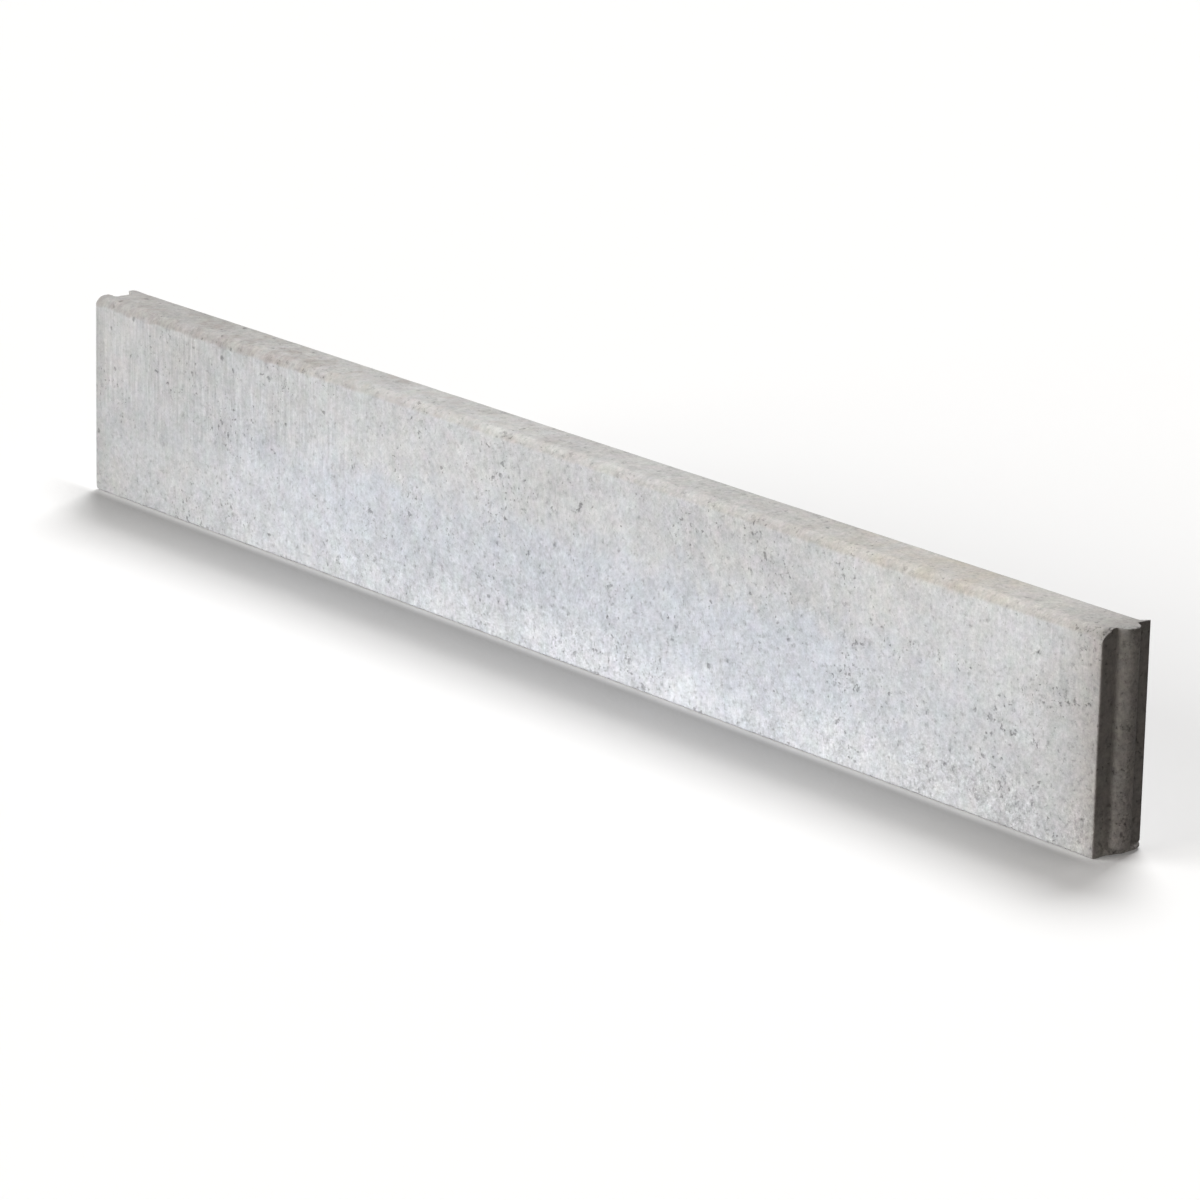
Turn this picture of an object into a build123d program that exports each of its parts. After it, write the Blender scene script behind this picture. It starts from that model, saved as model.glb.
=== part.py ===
# Precast concrete kerb stone with a tongue-and-groove end joint.
# Millimetres, +Z up. The kerb stands on its base with its length along X.
# The tongue is at +X, the groove at -X and the show face at -Y.
# The origin is the centre of the base, under the middle of the overall length.
import os

from build123d import *

# Section, the same on both long faces
thickness = 100.0
height = 350.0
top_arris_radius = 20.0
base_arris_radius = 3.0

# Length between the shoulders, which is what one kerb takes up in a row
laying_length = 2500.0
end_corner_radius = 3.0

# End joint: a round tongue over the full height, and a groove that it drops into
tongue_radius = 20.0
tongue_root_radius = 2.0
joint_clearance = 1.5
groove_lip_radius = 2.0

groove_radius = tongue_radius + joint_clearance
overall_length = laying_length + tongue_radius
groove_end_x = -overall_length / 2
tongue_end_x = groove_end_x + laying_length

with BuildPart() as kerb_stone:
    # The standing section runs from the groove end to the tip of the tongue.
    with BuildSketch(Plane.YZ.offset(groove_end_x)) as section:
        Rectangle(thickness, height, align=(Align.CENTER, Align.MIN))
        fillet(section.vertices().group_by(Axis.Y)[0], base_arris_radius)
        fillet(section.vertices().group_by(Axis.Y)[-1], top_arris_radius)
    extrude(amount=overall_length)

    # The plan outline cuts a shoulder on each side of the tongue, and opens the groove.
    with BuildSketch() as plan:
        with Locations((groove_end_x, 0)):
            Rectangle(laying_length, thickness, align=(Align.MIN, Align.CENTER))
        fillet(plan.vertices(), end_corner_radius)
        with Locations((tongue_end_x, 0)):
            Circle(tongue_radius)
        with Locations((groove_end_x, 0)):
            Circle(groove_radius, mode=Mode.SUBTRACT)
        joint_corners = plan.vertices().filter_by_position(Axis.Y, -groove_radius, groove_radius)
        groove_lips = joint_corners.group_by(Axis.X)[0]
        tongue_roots = joint_corners.group_by(Axis.X)[-1]
        fillet(groove_lips, groove_lip_radius)
        fillet(tongue_roots, tongue_root_radius)
    extrude(amount=height, mode=Mode.INTERSECT)

kerb_stone.part.label = "kerb_stone"
os.makedirs("parts", exist_ok=True)
export_step(kerb_stone.part, "parts/kerb_stone.step")
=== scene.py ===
"""The looks of the concrete kerb stone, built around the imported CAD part.

Metres, +Z up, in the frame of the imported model: the kerb stands on its base with its length along X,
the tongue at +X, the groove at -X and the show face at -Y.
"""
import itertools
import math

import bpy
import numpy as np
from mathutils import Euler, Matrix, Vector


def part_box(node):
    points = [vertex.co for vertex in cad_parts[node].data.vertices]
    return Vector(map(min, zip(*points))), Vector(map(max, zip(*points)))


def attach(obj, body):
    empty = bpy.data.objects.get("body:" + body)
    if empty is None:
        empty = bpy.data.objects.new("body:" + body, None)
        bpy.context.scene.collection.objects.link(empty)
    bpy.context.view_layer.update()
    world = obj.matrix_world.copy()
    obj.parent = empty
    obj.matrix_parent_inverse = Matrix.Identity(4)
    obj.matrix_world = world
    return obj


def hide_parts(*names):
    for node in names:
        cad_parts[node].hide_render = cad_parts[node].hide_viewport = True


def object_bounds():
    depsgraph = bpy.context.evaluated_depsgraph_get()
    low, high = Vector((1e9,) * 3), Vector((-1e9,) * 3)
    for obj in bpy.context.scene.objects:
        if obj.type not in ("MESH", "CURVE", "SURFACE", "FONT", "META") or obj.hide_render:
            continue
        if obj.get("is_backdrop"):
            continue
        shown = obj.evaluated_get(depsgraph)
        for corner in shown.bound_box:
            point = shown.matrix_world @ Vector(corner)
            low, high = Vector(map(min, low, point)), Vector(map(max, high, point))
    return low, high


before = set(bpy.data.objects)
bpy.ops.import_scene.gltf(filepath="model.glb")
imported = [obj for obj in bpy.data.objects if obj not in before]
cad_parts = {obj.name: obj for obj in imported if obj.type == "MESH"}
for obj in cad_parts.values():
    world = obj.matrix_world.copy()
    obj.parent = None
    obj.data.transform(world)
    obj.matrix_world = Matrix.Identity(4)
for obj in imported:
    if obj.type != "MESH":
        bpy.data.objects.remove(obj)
cad_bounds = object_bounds()

# The kerb's sizes, as in the CAD part
LOW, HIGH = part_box("kerb_stone")
HALF_THICKNESS = HIGH.y
HEIGHT = HIGH.z
TOP_ARRIS = 0.020
BASE_ARRIS = 0.003
END_CORNER = 0.003
TONGUE_RADIUS = 0.020
TONGUE_ROOT = 0.002
JOINT_CLEARANCE = 0.0015
GROOVE_RADIUS = TONGUE_RADIUS + JOINT_CLEARANCE
GROOVE_LIP = 0.002
GROOVE_END = LOW.x
TONGUE_END = HIGH.x - TONGUE_RADIUS

# The square fin at the back of the tongue end
FIN_LENGTH = 0.014
FIN_ARRIS = 0.002
FIN_CURVE = 1.5
# The concrete that has spilt round the foot of the tongue, and the bottom edge broken away under it
FOOT_CENTRE = 0.008
FOOT_HALF_WIDTH = 0.037
FOOT_REACH = 0.0145
FOOT_HEIGHT = 0.014
FOOT_FULL_HEIGHT = FOOT_HEIGHT / 3
FOOT_WEAR = 0.75
BASE_WEAR = 0.0042
BASE_WEAR_HEIGHT = 0.014
# The crumbled front arris beside the tongue, and the worn corner at the foot of the groove end
RIM_WEAR = 0.0045
WORN_CORNER = 0.013

# Two chips that the photo shows: the centre and the radius of the ball that bites each of them
GROOVE_CHIP = ((GROOVE_END + 0.0138, -0.0143, HEIGHT + 0.0010), 0.0068)
FAR_CORNER_CHIP = ((TONGUE_END + 0.004, HALF_THICKNESS + 0.007, -0.004), 0.017)
# How many other chips bite each long base edge, each upright edge and each rim of an end
BASE_CHIPS = 40
UPRIGHT_CHIPS = 12
RIM_CHIPS = 10
# How uneven a chip is: its smallest share of the radius, what noise adds, and the size of the lumps
CHIP_SMALLEST = 0.8
CHIP_UNEVENNESS = 0.35
CHIP_LUMPS = 0.006

# Relief of the cast skin, from broad waves to fine grain: how wide its lumps are, and how deep
RELIEF_LAYERS = ((0.35, 0.0005), (0.09, 0.0003), (0.022, 0.00025), (0.009, 0.0002))
CRUMBLY_BASE_HEIGHT = 0.03
CRUMBLY_BASE_LUMPS = 0.008
CRUMBLY_BASE_DEPTH = 0.0006
# The sharp lips of the joint would tear: no rim chips this close to them, and this share of the
# relief, up to its full depth between these distances from an end
JOINT_LIP_KEPT = 0.008
CALM_END = 0.25
CALM_FROM = 0.005
CALM_TO = 0.040

# Spacing of the mesh: fine beside an edge, and growing to the middle of a face
EDGE_SPACING = 0.002
FACE_SPACING = 0.0056
SPACING_GROWTH = 1.25
END_BLEND = 0.060
COLUMN_BESIDE_ARRIS = 0.0035
CLOSEST_COLUMNS = 0.0003

SEED = 11
CRUMBLY_BASE_SEED = SEED + 4
RIM_WEAR_SEED = SEED + 5
BASE_WEAR_SEED = SEED + 6
# Large numbers that turn the corners of a lattice into random values
LATTICE_PRIMES = np.array([374761393, 668265263, 1274126177])
SEED_PRIME = 974711
MIXING_PRIME = 1103515245

# Colours of the faces
NEUTRAL_GREY = (0.500, 0.512, 0.528, 1)
COOL_GREY = (0.486, 0.512, 0.560, 1)
WARM_GREY = (0.524, 0.512, 0.495, 1)
TONGUE_END_GREY = (0.520, 0.500, 0.488, 1)
# Colours of the top
TOP_GREY = (0.482, 0.474, 0.462, 1)
TOP_AT_TONGUE = (0.445, 0.432, 0.415, 1)
TOP_AT_GROOVE = (0.432, 0.422, 0.411, 1)
DAMP_STAIN = (0.42, 0.385, 0.335, 1)
TOP_BLOTCHES = (0.350, 0.330, 0.308, 1)
DULL_ARRIS = (0.384, 0.371, 0.362, 1)
# The heights between which the colour of the faces gives way to that of the top
TOP_FROM = 0.333
TOP_TO = 0.340

BUMP_STRENGTH = 0.8
BUMP_DISTANCE = 0.0015

FLOOR_REACH = 60.0
FLOOR_TONE = 0.78
FLOOR_GLOW = 0.12
CONTACT_SHADE_REACH = 0.16
WORLD_COLOUR = (1.0, 0.93, 0.86, 1)
WORLD_STRENGTH = 0.100
SUN_DISTANCE = 6

# The photo's camera, as fitted to the edges of the kerb: its lens in mm, place, and turn in degrees
LENS = 177.959
SENSOR = 36.0
CAMERA_PLACE = (7.0101, -5.9492, 2.8226)
CAMERA_TURN = (73.44480, -1.23392, 49.79947)
CAMERA_RANGE = 200.0


def smoothstep(low, high, value):
    t = np.clip((value - low) / (high - low), 0, 1)
    return t * t * (3 - 2 * t)


def edge_inset(inside, radius):
    """How far a rounded edge stands back from its face, at a distance inside the face beside it."""
    reach = np.clip(radius - inside, 0, radius)
    return radius - np.sqrt(radius**2 - reach**2)


def joint_outline(y, radius, fillet):
    """How far a round joint stands out of its shoulder at y, with a fillet where the two meet."""
    side = np.abs(y)
    fillet_centre = math.sqrt((radius + fillet) ** 2 - fillet**2)
    fillet_start = fillet_centre * radius / (radius + fillet)
    circle = np.sqrt(np.clip(radius**2 - side**2, 0, None))
    rounding = fillet - np.sqrt(np.clip(fillet**2 - (side - fillet_centre) ** 2, 0, None))
    return np.where(side < fillet_start, circle, np.where(side < fillet_centre, rounding, 0))


def tongue_end_x(y):
    corner = edge_inset(HALF_THICKNESS - np.abs(y), END_CORNER)
    return TONGUE_END + joint_outline(y, TONGUE_RADIUS, TONGUE_ROOT) - corner


def groove_end_x(y):
    corner = edge_inset(HALF_THICKNESS - np.abs(y), END_CORNER)
    return GROOVE_END + joint_outline(y, GROOVE_RADIUS, GROOVE_LIP) + corner


def thinned(values, gap):
    """The values in order, without those closer than gap to the one before."""
    kept = []
    for value in sorted(values):
        if not kept or value - kept[-1] > gap:
            kept.append(value)
    return np.array(kept)


def columns():
    """Places across the thickness that follow the corners, the arrises, the tongue and the groove."""
    corner_angles = np.radians([0, 30, 60, 90])
    arris_angles = np.radians([50, 65, 80, 90])
    tongue_angles = np.radians(np.linspace(0, 85, 8))
    across_lip = np.array([0.96, 0.3, -0.04])
    across_root = np.array([0.95, 0.25])
    half = [
        *(HALF_THICKNESS - END_CORNER * (1 - np.cos(corner_angles))),
        *(HALF_THICKNESS - TOP_ARRIS * (1 - np.cos(arris_angles))),
        HALF_THICKNESS - TOP_ARRIS - COLUMN_BESIDE_ARRIS,
        *(GROOVE_RADIUS + GROOVE_LIP * across_lip),
        *(TONGUE_RADIUS + TONGUE_ROOT * across_root),
        *(TONGUE_RADIUS * np.sin(tongue_angles)),
    ]
    half = thinned(half, CLOSEST_COLUMNS)
    return np.concatenate([-half[:0:-1], half])


def graded(length, middle):
    """Places from 0 to 1 along a length, close together at both ends."""
    steps = [EDGE_SPACING]
    while steps[-1] * SPACING_GROWTH < middle:
        steps.append(steps[-1] * SPACING_GROWTH)
    left = length - 2 * sum(steps)
    count = max(1, round(left / middle))
    steps = steps + [left / count] * count + steps[::-1]
    return np.concatenate([[0], np.cumsum(steps)]) / sum(steps)


def arris_radius(x, y):
    """The far arris runs out to a square fin in the last stretch before the tongue."""
    fin = np.clip(1 - (TONGUE_END - x) / FIN_LENGTH, 0, 1) * (y > 0)
    return TOP_ARRIS - (TOP_ARRIS - FIN_ARRIS) * fin**FIN_CURVE


def foot_filling(y):
    """How far the spilt concrete at the foot of the tongue stands out of the shoulder."""
    across = (y - FOOT_CENTRE) / FOOT_HALF_WIDTH
    return FOOT_REACH * np.sqrt(np.clip(1 - across**2, 0, None))


def place(x, y, rise):
    """A point of the surface, from its station along the length, its column and its share of the height."""
    inside = HALF_THICKNESS - np.abs(y)
    base = edge_inset(inside, BASE_ARRIS)
    top = HEIGHT - edge_inset(inside, arris_radius(x, y))
    z = base + rise * (top - base)
    near_groove = np.clip(1 - (x - GROOVE_END) / END_BLEND, 0, 1)
    near_tongue = np.clip(1 - (TONGUE_END - x) / END_BLEND, 0, 1)
    at_foot = smoothstep(FOOT_HEIGHT, FOOT_FULL_HEIGHT, z)
    tongue = tongue_end_x(y) - TONGUE_END
    foot = np.maximum(tongue * FOOT_WEAR, foot_filling(y) - edge_inset(inside, END_CORNER))
    tongue = tongue + at_foot * (foot - tongue)
    along = x + near_groove * (groove_end_x(y) - GROOVE_END) + near_tongue * tongue
    return np.stack(np.broadcast_arrays(along, y, z), axis=-1)


def outline_ring(last_column, last_row):
    """The column and the row of each point round the kerb: along the base, up, along the top and down."""
    ring = [(column, 0) for column in range(last_column)]
    ring += [(last_column, row) for row in range(last_row)]
    ring += [(column, last_row) for column in range(last_column, 0, -1)]
    return ring + [(0, row) for row in range(last_row, 0, -1)]


def sleeve_quads(stations, around):
    """The quads between each station and the next, facing outward."""
    quads = []
    for start in range(0, (stations - 1) * around, around):
        for k in range(around):
            following = (k + 1) % around
            quads.append((start + k, start + following, start + around + following, start + around + k))
    return quads


def cap_quads(ids, last_column, last_row, turned):
    """The quads of one end, from the number of the point at each column and row."""
    quads = []
    for column, row in itertools.product(range(last_column), range(last_row)):
        quad = (ids[column, row], ids[column, row + 1], ids[column + 1, row + 1], ids[column + 1, row])
        quads.append(quad[::-1] if turned else quad)
    return quads


def kerb_grid():
    """The vertices and quads of the whole kerb: a sleeve along the length and a cap on each end."""
    ys = columns()
    rises = graded(HEIGHT - TOP_ARRIS - BASE_ARRIS, FACE_SPACING)
    xs = GROOVE_END + graded(TONGUE_END - GROOVE_END, FACE_SPACING) * (TONGUE_END - GROOVE_END)
    last_column = len(ys) - 1
    last_row = len(rises) - 1
    ring = outline_ring(last_column, last_row)
    ring_columns, ring_rows = np.transpose(ring)
    sleeve = place(xs[:, None], ys[ring_columns][None, :], rises[ring_rows][None, :]).reshape(-1, 3)

    inner = list(itertools.product(range(1, last_column), range(1, last_row)))
    inner_columns, inner_rows = np.transpose(inner)
    points = [sleeve]
    quads = sleeve_quads(len(xs), len(ring))
    total = len(sleeve)
    for station, turned in ((0, False), (len(xs) - 1, True)):
        ids = {spot: station * len(ring) + k for k, spot in enumerate(ring)}
        ids.update({spot: total + k for k, spot in enumerate(inner)})
        points.append(place(xs[station], ys[inner_columns], rises[inner_rows]))
        quads += cap_quads(ids, last_column, last_row, turned)
        total += len(inner)
    return np.concatenate(points), quads


def smooth_noise(points, cell, seed):
    """Seeded random values from 0 to 1 that change over a distance of about one cell."""
    scaled = points / cell
    base = np.floor(scaled).astype(np.int64)
    part = scaled - base
    part = part * part * (3 - 2 * part)
    total = np.zeros(len(points))
    for corner in itertools.product((0, 1), repeat=3):
        spot = base + np.array(corner)
        mixed = (spot @ LATTICE_PRIMES + seed * SEED_PRIME) & 0xFFFFFFFF
        mixed = ((mixed ^ (mixed >> 13)) * MIXING_PRIME) & 0xFFFFFFFF
        value = ((mixed ^ (mixed >> 16)) & 0xFFFF) / 0xFFFF
        weight = np.prod(np.where(np.array(corner) == 1, part, 1 - part), axis=1)
        total += value * weight
    return total


def bite(points, centre, radius, seed):
    """Pushes the points inside a rough ball out to its surface, which leaves a chip in the edge."""
    away = points - np.array(centre)
    distance = np.linalg.norm(away, axis=1)
    rough = radius * (CHIP_SMALLEST + CHIP_UNEVENNESS * smooth_noise(points, CHIP_LUMPS, seed))
    inside = distance < rough
    points[inside] += away[inside] / distance[inside, None] * (rough - distance)[inside, None]


def base_chips(rng, side):
    """Balls that bite one long edge of the base."""
    for x in rng.uniform(GROOVE_END, TONGUE_END, BASE_CHIPS):
        radius = rng.uniform(0.004, 0.010)
        off = radius * rng.uniform(0.45, 0.65)
        yield (x, side * (HALF_THICKNESS + off), -off), radius


def upright_chips(rng, side, end):
    """Balls that bite one upright edge of an end."""
    outward = math.copysign(1, end)
    for z in rng.uniform(0, HEIGHT - TOP_ARRIS, UPRIGHT_CHIPS):
        radius = rng.uniform(0.003, 0.007)
        off = radius * rng.uniform(0.55, 0.7)
        yield (end + outward * off, side * (HALF_THICKNESS + off), z), radius


def rim_chips(rng, end, joint_radius, fillet):
    """Balls that bite the bottom and the top rim of one end, away from the lips of its joint."""
    outward = math.copysign(1, end)
    for z, lift in ((0, -0.6), (HEIGHT, 0.6)):
        for y in rng.uniform(-HALF_THICKNESS, HALF_THICKNESS, RIM_CHIPS):
            if abs(abs(y) - joint_radius) < JOINT_LIP_KEPT:
                continue
            radius = rng.uniform(0.003, 0.006)
            rim = end + float(joint_outline(y, joint_radius, fillet)) + outward * radius * 0.5
            yield (rim, y, z + lift * radius), radius


def edge_chips(rng):
    """The balls that bite the edges: two where the photo has a chip, and the others at random."""
    balls = [GROOVE_CHIP, FAR_CORNER_CHIP]
    for side in (-1, 1):
        balls.extend(base_chips(rng, side))
        for end in (GROOVE_END, TONGUE_END):
            balls.extend(upright_chips(rng, side, end))
    balls.extend(rim_chips(rng, GROOVE_END, GROOVE_RADIUS, GROOVE_LIP))
    balls.extend(rim_chips(rng, TONGUE_END, TONGUE_RADIUS, TONGUE_ROOT))
    return balls


def wear_rim(points):
    """Lowers the end of the front arris beside the tongue, where it has crumbled."""
    near_end = smoothstep(0.012, 0.0, TONGUE_END - points[:, 0])
    near_top = smoothstep(0.030, 0.004, HEIGHT - points[:, 2])
    in_front = smoothstep(-0.027, -0.036, points[:, 1])
    crumbled = 0.6 + 0.8 * smooth_noise(points, 0.007, RIM_WEAR_SEED)
    points[:, 2] -= RIM_WEAR * near_end * near_top * in_front * crumbled


def wear_foot(points):
    """Lifts the bottom edge of the tongue, which is broken away a little above the ground."""
    at_end = smoothstep(TONGUE_END - 0.003, TONGUE_END + 0.006, points[:, 0])
    at_base = smoothstep(BASE_WEAR_HEIGHT, 0.0, points[:, 2])
    behind = smoothstep(-0.044, -0.022, points[:, 1])
    uneven = 0.75 + 0.5 * smooth_noise(points * [1, 1, 0], 0.012, BASE_WEAR_SEED)
    points[:, 2] += BASE_WEAR * at_end * at_base * behind * uneven


def round_foot(points):
    """Rounds the front corner at the foot of the groove end."""
    centre = np.array([GROOVE_END + WORN_CORNER, WORN_CORNER])
    out = points[:, [0, 2]] - centre
    distance = np.linalg.norm(out, axis=1)
    in_corner = (out < 0).all(axis=1) & (distance > WORN_CORNER)
    front = smoothstep(0.01, -0.03, points[:, 1])
    pull = np.where(in_corner, front * (1 - WORN_CORNER / np.maximum(distance, WORN_CORNER)), 0)
    points[:, [0, 2]] -= out * pull[:, None]


def skin_relief(points):
    """How deep the cast skin lies at each point, calmer beside the sharp lips of the joint."""
    relief = np.zeros(len(points))
    for number, (lumps, depth) in enumerate(RELIEF_LAYERS):
        relief += smooth_noise(points, lumps, SEED + number) * depth
    near_base = smoothstep(CRUMBLY_BASE_HEIGHT, 0.0, points[:, 2])
    relief += near_base * smooth_noise(points, CRUMBLY_BASE_LUMPS, CRUMBLY_BASE_SEED) * CRUMBLY_BASE_DEPTH
    from_end = np.minimum(points[:, 0] - GROOVE_END, TONGUE_END - points[:, 0])
    return relief * (CALM_END + (1 - CALM_END) * smoothstep(CALM_FROM, CALM_TO, from_end))


def weather(points, normals):
    """Moves the points inward: the relief of the skin, the worn corners and the chips."""
    points -= normals * skin_relief(points)[:, None]
    wear_rim(points)
    wear_foot(points)
    round_foot(points)
    rng = np.random.default_rng(SEED)
    for number, (centre, radius) in enumerate(edge_chips(rng)):
        bite(points, centre, radius, SEED + number)
    np.clip(points, np.array(LOW), np.array(HIGH), out=points)


def kerb_mesh():
    points, quads = kerb_grid()
    mesh = bpy.data.meshes.new("kerb_stone_cast")
    mesh.from_pydata(points.tolist(), [], quads)
    mesh.update()
    normals = np.zeros(len(points) * 3, np.float32)
    mesh.vertex_normals.foreach_get("vector", normals)
    weather(points, normals.reshape(-1, 3).astype(float))
    mesh.vertices.foreach_set("co", points.astype(np.float32).ravel())
    mesh.polygons.foreach_set("use_smooth", np.ones(len(quads), bool))
    mesh.update()
    return mesh


class Nodes:
    """A material's node tree, with a short call for each kind of node used here."""

    def __init__(self, name):
        self.material = bpy.data.materials.new(name)
        self.material.use_nodes = True
        self.tree = self.material.node_tree
        self.shader = self.tree.nodes["Principled BSDF"]

    def feed(self, socket, value):
        """Links a socket to another one, or sets it to a constant."""
        if isinstance(value, bpy.types.NodeSocket):
            self.tree.links.new(value, socket)
        else:
            socket.default_value = value

    def add(self, kind, **settings):
        made = self.tree.nodes.new(kind)
        for name, value in settings.items():
            setattr(made, name, value)
        return made

    def math(self, operation, a, b=0.0, clamp=False):
        made = self.add("ShaderNodeMath", operation=operation, use_clamp=clamp)
        self.feed(made.inputs[0], a)
        self.feed(made.inputs[1], b)
        return made.outputs[0]

    def product(self, first, *others):
        for other in others:
            first = self.math("MULTIPLY", first, other)
        return first

    def total(self, first, *others):
        for other in others:
            first = self.math("ADD", first, other)
        return first

    def stretched(self, vector, stretch):
        made = self.add("ShaderNodeVectorMath", operation="MULTIPLY")
        self.feed(made.inputs[0], vector)
        made.inputs[1].default_value = stretch
        return made.outputs[0]

    def shifted(self, vector, offset, amount):
        """The vector moved by a noise colour, which makes round things ragged."""
        made = self.add("ShaderNodeVectorMath", operation="MULTIPLY_ADD")
        self.feed(made.inputs[0], offset)
        made.inputs[1].default_value = (amount, amount, amount)
        self.feed(made.inputs[2], vector)
        return made.outputs[0]

    def noise(self, vector, size, detail=2.0, roughness=0.5, colour=False):
        """Noise whose lumps are about size metres across."""
        made = self.add("ShaderNodeTexNoise")
        self.feed(made.inputs["Vector"], vector)
        made.inputs["Scale"].default_value = 1 / size
        made.inputs["Detail"].default_value = detail
        made.inputs["Roughness"].default_value = roughness
        return made.outputs["Color" if colour else "Fac"]

    def swing(self, vector, size, amount, detail=2.0, roughness=0.5):
        """Noise centred on 0, times an amount."""
        centred = self.math("SUBTRACT", self.noise(vector, size, detail, roughness), 0.5)
        return self.math("MULTIPLY", centred, amount)

    def spots(self, vector, size, share, widest):
        """Spots of mixed width in a share of the cells of about size metres: 1 inside and 0 outside."""
        made = self.add("ShaderNodeTexVoronoi")
        self.feed(made.inputs["Vector"], vector)
        made.inputs["Scale"].default_value = 1 / size
        chance = self.split(made.outputs["Color"])[0]
        width = self.remap(chance, 0.0, share, widest, 0.0)
        inside = self.math("SUBTRACT", width, made.outputs["Distance"])
        return self.math("MULTIPLY", inside, 2 / widest, clamp=True)

    def remap(self, value, low, high, to_low=0.0, to_high=1.0, smooth=False):
        made = self.add("ShaderNodeMapRange", clamp=True)
        if smooth:
            made.interpolation_type = "SMOOTHSTEP"
        for number, given in enumerate((value, low, high, to_low, to_high)):
            self.feed(made.inputs[number], given)
        return made.outputs[0]

    def fade(self, value, start, end):
        """0 before start, 1 past end and a soft change between them."""
        return self.remap(value, start, end, smooth=True)

    def dips(self, value, level, start, end):
        """The parts where the value dips under a level: 0 at start over the level, and 1 at end."""
        return self.fade(self.math("SUBTRACT", value, level), start, end)

    def mix(self, factor, a, b, blend="MIX"):
        """Mixes two colours, which this node takes at its inputs 6 and 7 and gives at its output 2."""
        made = self.add("ShaderNodeMix", data_type="RGBA", blend_type=blend)
        self.feed(made.inputs[0], factor)
        self.feed(made.inputs[6], a)
        self.feed(made.inputs[7], b)
        return made.outputs[2]

    def split(self, vector):
        made = self.add("ShaderNodeSeparateXYZ")
        self.feed(made.inputs[0], vector)
        return made.outputs

    def grey(self, value):
        made = self.add("ShaderNodeCombineColor")
        for channel in range(3):
            self.feed(made.inputs[channel], value)
        return made.outputs[0]


def cloud_colour(nodes, where, x, z):
    """Cool and warm patches over a light grey: cool low down in the middle, warmer near the top."""
    ragged = nodes.math("ADD", z, nodes.swing(where, 0.12, 0.16, detail=4.0, roughness=0.6))
    cool_share = nodes.product(
        nodes.fade(x, -1.15, -0.45),
        nodes.fade(x, 1.15, 0.55),
        nodes.fade(ragged, 0.26, 0.17),
        nodes.remap(z, 0.09, 0.03, 1.0, 0.65),
    )
    cool_share = nodes.total(cool_share, nodes.swing(where, 0.30, 0.8, detail=3.0))
    colour = nodes.mix(nodes.remap(cool_share, 0.0, 1.0), NEUTRAL_GREY, COOL_GREY)
    colour = nodes.mix(nodes.remap(cool_share, 0.0, -0.4), colour, WARM_GREY)
    return nodes.mix(nodes.remap(x, 1.16, 1.235, 0.0, 0.9), colour, TONGUE_END_GREY)


def broad_tone(nodes, x, z):
    """Tone over the whole casting: darker at both ends, and paler lower down and towards the foot."""
    ends = nodes.product(
        nodes.remap(x, -1.35, -0.65, 0.83, 1.0, smooth=True),
        nodes.remap(x, -1.258, -1.230, 0.88, 1.0),
        nodes.remap(x, 1.10, 1.235, 1.0, 0.78),
        nodes.remap(x, 1.205, 1.238, 1.0, 0.84),
    )
    lower = nodes.math("MULTIPLY", nodes.remap(z, 0.31, 0.03, 0.0, 0.10), nodes.fade(x, 1.30, 0.80))
    middle = nodes.math("MULTIPLY", nodes.fade(x, -0.9, -0.1), nodes.fade(x, 1.0, 0.6))
    foot = nodes.product(nodes.fade(z, 0.10, 0.02), middle, 0.13)
    return nodes.math("MULTIPLY", ends, nodes.total(lower, foot, 1.0))


def end_tone_and_painted_light(nodes, x, y, z):
    """The tongue end: painted light that makes the tongue paler towards its outer end, from its middle to
    its far side, and paler at the foot of the shoulder in front of it.
    """
    # Painted light: the tongue is made paler than its shading leaves it.
    painted_tongue_light = nodes.product(
        nodes.fade(x, 1.2435, 1.250),
        nodes.fade(y, -0.016, -0.004),
        nodes.fade(z, 0.347, 0.340),
        0.33,
    )
    foot = nodes.product(
        nodes.fade(x, 1.237, 1.239),
        nodes.fade(z, 0.10, 0.02),
        nodes.fade(y, -0.018, -0.034),
        0.35,
    )
    return nodes.total(painted_tongue_light, foot, 1.0)


def skin_tone(nodes, where, x, z):
    """Blotches and speckle of the cement skin, coarser low down, to the right and on the tongue."""
    coarseness = nodes.total(
        nodes.remap(x, -1.15, -0.2, 0.84, 1.28),
        nodes.remap(z, 0.25, 0.03, 0.0, 0.36),
        nodes.remap(x, 1.240, 1.244, 0.0, 0.9),
    )
    blotches = nodes.swing(where, 0.22, 0.34, detail=2.0)
    mottling = nodes.swing(where, 0.034, 0.42, detail=3.0, roughness=0.7)
    mottling = nodes.math("MULTIPLY", mottling, nodes.remap(x, 0.2, 0.9, 1.0, 0.74))
    speckle = nodes.swing(where, 0.0075, 0.59, detail=3.0, roughness=0.8)
    ragged = nodes.noise(where, 0.012, detail=4.0, roughness=0.72)
    marks = nodes.remap(ragged, 0.45, 0.27, 0.0, -0.32)
    fine = nodes.product(nodes.total(mottling, speckle, marks), coarseness)
    return nodes.total(blotches, fine, 1.015)


def drag_marks(nodes, where, x, z):
    """Thin upright marks where the mould was lifted, plainest high up at the groove end."""
    upright = nodes.stretched(where, (1.0, 1.0, 0.07))
    marks = nodes.swing(upright, 0.0070, 1.0, detail=4.0, roughness=0.70)
    groove_end = nodes.product(nodes.fade(x, -0.35, -0.75), nodes.fade(z, 0.06, 0.22), 1.15)
    tongue_end = nodes.product(nodes.fade(x, 0.85, 1.10), nodes.fade(z, 0.20, 0.28), 0.5)
    return nodes.math("MULTIPLY", marks, nodes.total(groove_end, tongue_end, 0.25))


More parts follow.
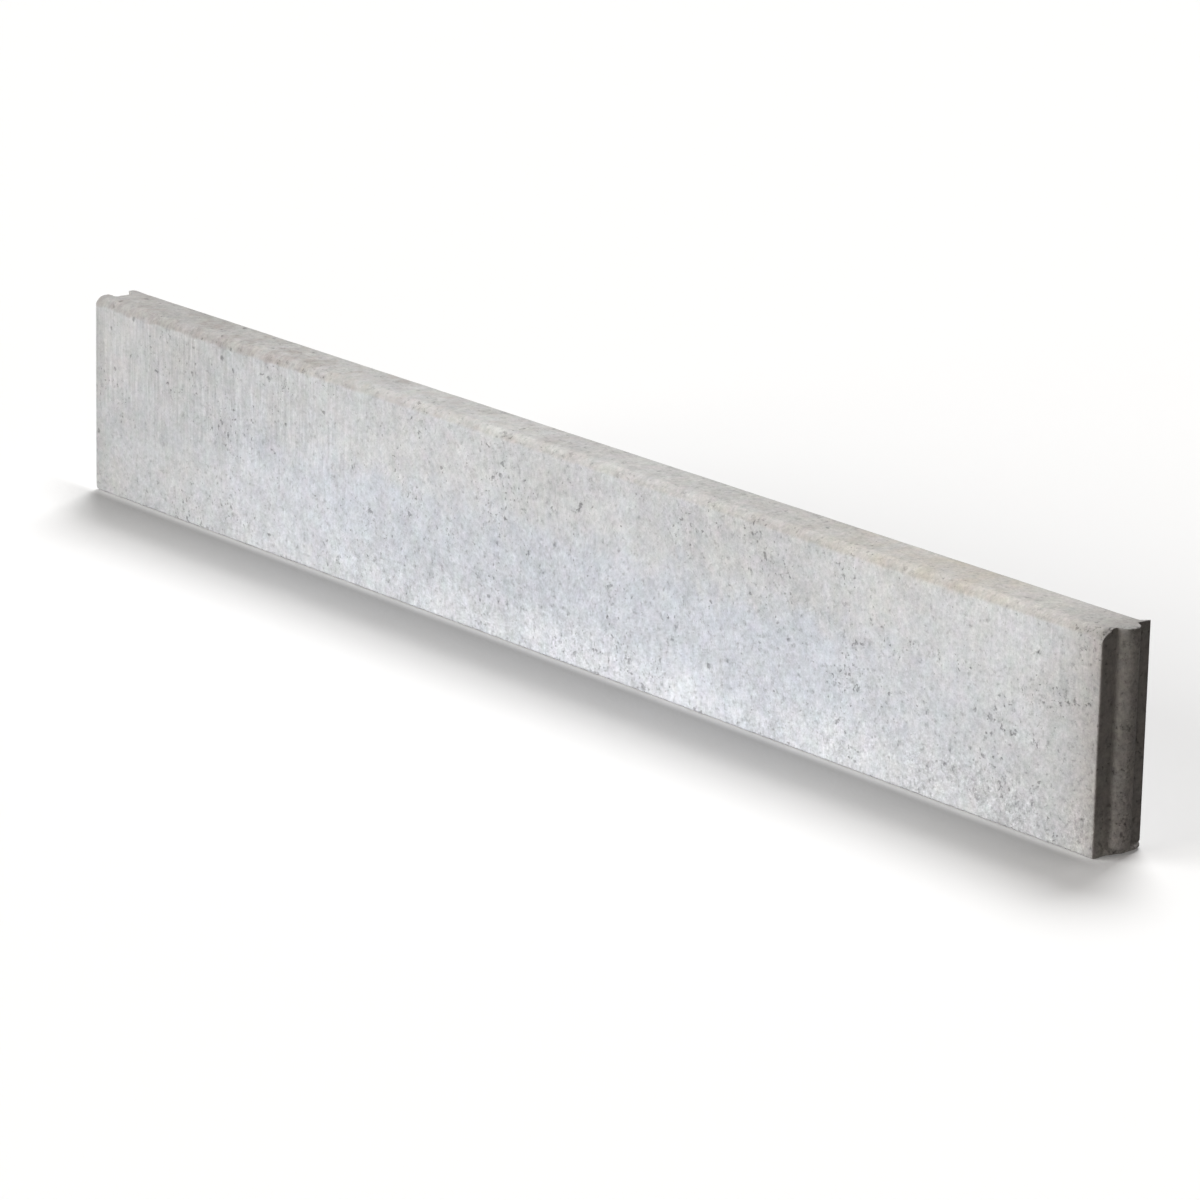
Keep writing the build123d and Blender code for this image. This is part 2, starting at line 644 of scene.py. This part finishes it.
def smooth_patch(nodes, where, x, z):
    """A pale patch near the tongue end, high on the faces, where the cement skin has stayed closed."""
    wobble = nodes.swing(where, 0.10, 0.10, detail=3.0)
    across = nodes.math("ADD", x, wobble)
    up = nodes.math("ADD", z, nodes.math("MULTIPLY", wobble, 0.6))
    return nodes.product(
        nodes.fade(across, 0.68, 0.76),
        nodes.fade(across, 1.235, 1.18),
        nodes.fade(up, 0.225, 0.265),
    )


def pores_with_painted_shade(nodes, where, x, z, closed):
    """Ragged pits of mixed width: few high up at the groove end, and groups of large ones low and right.
    They sink in the bump, and their darker colour is painted shade inside them.
    """
    groups = nodes.noise(where, 0.085, detail=3.0, roughness=0.6)
    openness = nodes.total(
        nodes.remap(x, -1.1, 0.2, 0.005, 0.022),
        nodes.remap(z, 0.30, 0.14, 0.0, 0.015),
        nodes.remap(groups, 0.49, 0.63, -0.010, 0.068),
    )
    openness = nodes.math("MULTIPLY", openness, nodes.remap(closed, 0.0, 1.0, 1.0, 0.30))
    fine = nodes.noise(where, 0.0070, detail=2.5, roughness=0.6)
    fine_pits = nodes.dips(fine, nodes.math("ADD", openness, 0.255), 0.034, -0.012)
    coarse = nodes.noise(where, 0.019, detail=4.0, roughness=0.64)
    coarse_pits = nodes.dips(coarse, nodes.math("ADD", openness, 0.252), 0.020, -0.010)
    tearing = nodes.noise(where, 0.008, detail=3.0, roughness=0.7, colour=True)
    torn = nodes.shifted(where, tearing, 0.012)
    holes = nodes.spots(torn, 0.026, nodes.math("MULTIPLY", openness, 4.0), 0.20)
    return nodes.math("MAXIMUM", fine_pits, nodes.math("MAXIMUM", coarse_pits, holes))


def bare_grain(nodes, where, x, z):
    """Coarse grain with no cement skin over it, along the foot towards the tongue end."""
    patches = nodes.remap(nodes.noise(where, 0.08, detail=3.0), 0.38, 0.60, 0.35, 1.25)
    to_tongue = nodes.remap(x, 0.25, 1.0, 0.30, 1.0, smooth=True)
    bare = nodes.product(nodes.fade(z, 0.13, 0.03), to_tongue, patches)
    return nodes.math("MULTIPLY", bare, nodes.swing(where, 0.0065, 1.0, detail=3.0, roughness=0.75))


def top_stain(nodes, where, x, z):
    """Brown damp stain on the top near the tongue end."""
    ragged = nodes.remap(nodes.noise(where, 0.05, detail=3.0), 0.35, 0.6)
    stretch = nodes.math("MULTIPLY", nodes.fade(x, 0.45, 0.80), nodes.fade(x, 1.10, 0.95))
    return nodes.product(nodes.fade(z, 0.325, 0.345), stretch, ragged)


def front_arris(nodes, where, worn, x, y, z):
    """The front arris towards the groove end, with a ragged lower border."""
    ragged = nodes.math("ADD", z, nodes.swing(where, 0.025, 0.020, detail=3.0))
    return nodes.product(
        nodes.fade(ragged, 0.3315, 0.3365),
        nodes.fade(y, -0.031, -0.037),
        nodes.fade(x, -0.35, -0.85),
        nodes.remap(worn, 0.35, 0.60, 0.25, 0.85),
    )


def top_colour(nodes, colour, where, x, y, z):
    """The top: warmer than the faces, stained, and dull at the groove end and along its front arris."""
    top = nodes.fade(z, TOP_FROM, TOP_TO)
    tongue_end = nodes.product(top, nodes.fade(x, 0.2, 1.0), 0.8)
    stain = nodes.math("MULTIPLY", top_stain(nodes, where, x, z), 0.6)
    groove_end = nodes.product(top, nodes.fade(x, -0.20, -1.20), 0.8)
    worn = nodes.noise(where, 0.030, detail=4.0, roughness=0.7)
    blotches = nodes.product(top, nodes.fade(worn, 0.48, 0.66), nodes.fade(x, 0.3, -0.7), 0.7)
    colour = nodes.mix(nodes.math("MULTIPLY", top, 0.8), colour, TOP_GREY)
    colour = nodes.mix(tongue_end, colour, TOP_AT_TONGUE)
    colour = nodes.mix(stain, colour, DAMP_STAIN)
    colour = nodes.mix(groove_end, colour, TOP_AT_GROOVE)
    colour = nodes.mix(blotches, colour, TOP_BLOTCHES)
    return nodes.mix(front_arris(nodes, where, worn, x, y, z), colour, DULL_ARRIS)


def concrete():
    """Pale wet-cast concrete: cloudy tone, drag marks from the mould, sand grain, pores with painted shade
    inside them, painted light on the tongue and a few glints.
    """
    nodes = Nodes("cast_concrete")
    where = nodes.add("ShaderNodeTexCoord").outputs["Object"]
    x, y, z = nodes.split(where)

    closed = smooth_patch(nodes, where, x, z)
    drag = drag_marks(nodes, where, x, z)
    grain = nodes.noise(where, 0.0038, detail=3.0, roughness=0.75)
    stones = bare_grain(nodes, where, x, z)
    pits = pores_with_painted_shade(nodes, where, x, z, closed)
    glints = nodes.spots(where, 0.022, 0.05, 0.10)
    tone = nodes.product(
        broad_tone(nodes, x, z),
        # the tongue end's tone, with painted light on the tongue
        end_tone_and_painted_light(nodes, x, y, z),
        skin_tone(nodes, where, x, z),
        nodes.math("ADD", nodes.math("MULTIPLY", drag, 0.60), 1.0),
        nodes.remap(grain, 0.25, 0.75, 0.92, 1.08),
        nodes.math("ADD", nodes.math("MULTIPLY", stones, 1.3), 1.0),
        # pores darkened in colour: painted shade inside them, besides their real sinking in the bump
        nodes.remap(pits, 0.0, 1.0, 1.0, 0.60),
        nodes.remap(glints, 0.0, 1.0, 1.0, 1.25),
        nodes.remap(closed, 0.0, 1.0, 1.0, 1.04),
    )

    colour = top_colour(nodes, cloud_colour(nodes, where, x, z), where, x, y, z)
    tints = nodes.noise(where, 0.030, detail=3.0, roughness=0.7, colour=True)
    colour = nodes.mix(0.06, colour, tints, blend="OVERLAY")
    colour = nodes.mix(1.0, colour, nodes.grey(tone), blend="MULTIPLY")
    nodes.feed(nodes.shader.inputs["Base Color"], colour)
    nodes.feed(nodes.shader.inputs["Roughness"], nodes.remap(grain, 0.3, 0.7, 0.82, 0.95))

    relief = nodes.total(
        nodes.math("MULTIPLY", grain, 0.40),
        nodes.math("MULTIPLY", pits, -1.0),
        nodes.math("MULTIPLY", drag, 0.35),
        nodes.math("MULTIPLY", stones, 2.2),
    )
    bump = nodes.add("ShaderNodeBump")
    bump.inputs["Strength"].default_value = BUMP_STRENGTH
    bump.inputs["Distance"].default_value = BUMP_DISTANCE
    nodes.feed(bump.inputs["Height"], relief)
    nodes.feed(nodes.shader.inputs["Normal"], bump.outputs[0])
    return nodes.material


def kerb():
    made = bpy.data.objects.new("kerb_stone_cast", kerb_mesh())
    bpy.context.scene.collection.objects.link(made)
    made.data.materials.append(concrete())
    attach(made, "root")
    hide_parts("kerb_stone")


def pale_floor():
    """Pale and matt, with a contact shade on the ground in front of the kerb."""
    nodes = Nodes("pale_floor")
    nearby = nodes.add("ShaderNodeAmbientOcclusion", samples=4)
    nearby.inputs["Distance"].default_value = CONTACT_SHADE_REACH
    x, y, _ = nodes.split(nodes.add("ShaderNodeTexCoord").outputs["Object"])
    in_front = nodes.product(nodes.fade(y, -0.045, -0.075), nodes.fade(x, 1.30, 1.22))
    shade = nodes.remap(nearby.outputs["AO"], 0.45, 0.95, 0.30, 1.0)
    shade = nodes.remap(in_front, 0.0, 1.0, 1.0, shade)
    tone = nodes.grey(nodes.math("MULTIPLY", shade, FLOOR_TONE))
    nodes.feed(nodes.shader.inputs["Base Color"], tone)
    nodes.shader.inputs["Roughness"].default_value = 1.0
    nodes.shader.inputs["Emission Color"].default_value = (1.0, 1.0, 1.0, 1)
    nodes.feed(nodes.shader.inputs["Emission Strength"], nodes.math("MULTIPLY", shade, FLOOR_GLOW))
    return nodes.material


def floor():
    """The ground. It shows in no bounce, so that the end in shade stays as deep as in the photo."""
    reach = FLOOR_REACH
    corners = [(-reach, -reach, 0), (reach, -reach, 0), (reach, reach, 0), (-reach, reach, 0)]
    mesh = bpy.data.meshes.new("floor")
    mesh.from_pydata(corners, [], [(0, 1, 2, 3)])
    made = bpy.data.objects.new("floor", mesh)
    bpy.context.scene.collection.objects.link(made)
    mesh.materials.append(pale_floor())
    made.visible_diffuse = False
    made.visible_glossy = False
    made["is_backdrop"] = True


def sun(name, left, up, strength, softness, colour=(1, 1, 1)):
    """A soft light from the front, turned left and up by these angles."""
    light = bpy.data.lights.new(name, "SUN")
    light.energy = strength
    light.angle = math.radians(softness)
    light.color = colour
    made = bpy.data.objects.new(name, light)
    turn, rise = math.radians(left), math.radians(up)
    towards = Vector((-math.sin(turn) * math.cos(rise), -math.cos(turn) * math.cos(rise), math.sin(rise)))
    made.rotation_euler = towards.to_track_quat("Z", "Y").to_euler()
    made.location = towards * SUN_DISTANCE
    bpy.context.scene.collection.objects.link(made)


def lights():
    """A key light from the left, weak fills, and a light from behind that strikes the top."""
    sun("key", left=42, up=8, strength=4.15, softness=40)
    sun("front_fill", left=10, up=12, strength=0.95, softness=20, colour=(1.0, 0.95, 0.88))
    sun("side_fill", left=-45, up=10, strength=0.25, softness=30, colour=(1.0, 0.92, 0.83))
    sun("top_fill", left=142, up=54, strength=2.88, softness=26)
    world = bpy.data.worlds.new("studio")
    bpy.context.scene.world = world
    world.use_nodes = True
    background = world.node_tree.nodes["Background"]
    background.inputs["Color"].default_value = WORLD_COLOUR
    background.inputs["Strength"].default_value = WORLD_STRENGTH


def camera():
    lens = bpy.data.cameras.new("camera")
    lens.lens = LENS
    lens.sensor_width = SENSOR
    lens.clip_end = CAMERA_RANGE
    made = bpy.data.objects.new("camera", lens)
    made.location = CAMERA_PLACE
    made.rotation_euler = Euler([math.radians(turn) for turn in CAMERA_TURN])
    bpy.context.scene.collection.objects.link(made)
    bpy.context.scene.camera = made


camera()
lights()
floor()
kerb()
bpy.context.scene.view_settings.view_transform = "Standard"

boxes = {"cad": cad_bounds, "visual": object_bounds()}
{name: [list(corner) for corner in box] for name, box in boxes.items()}
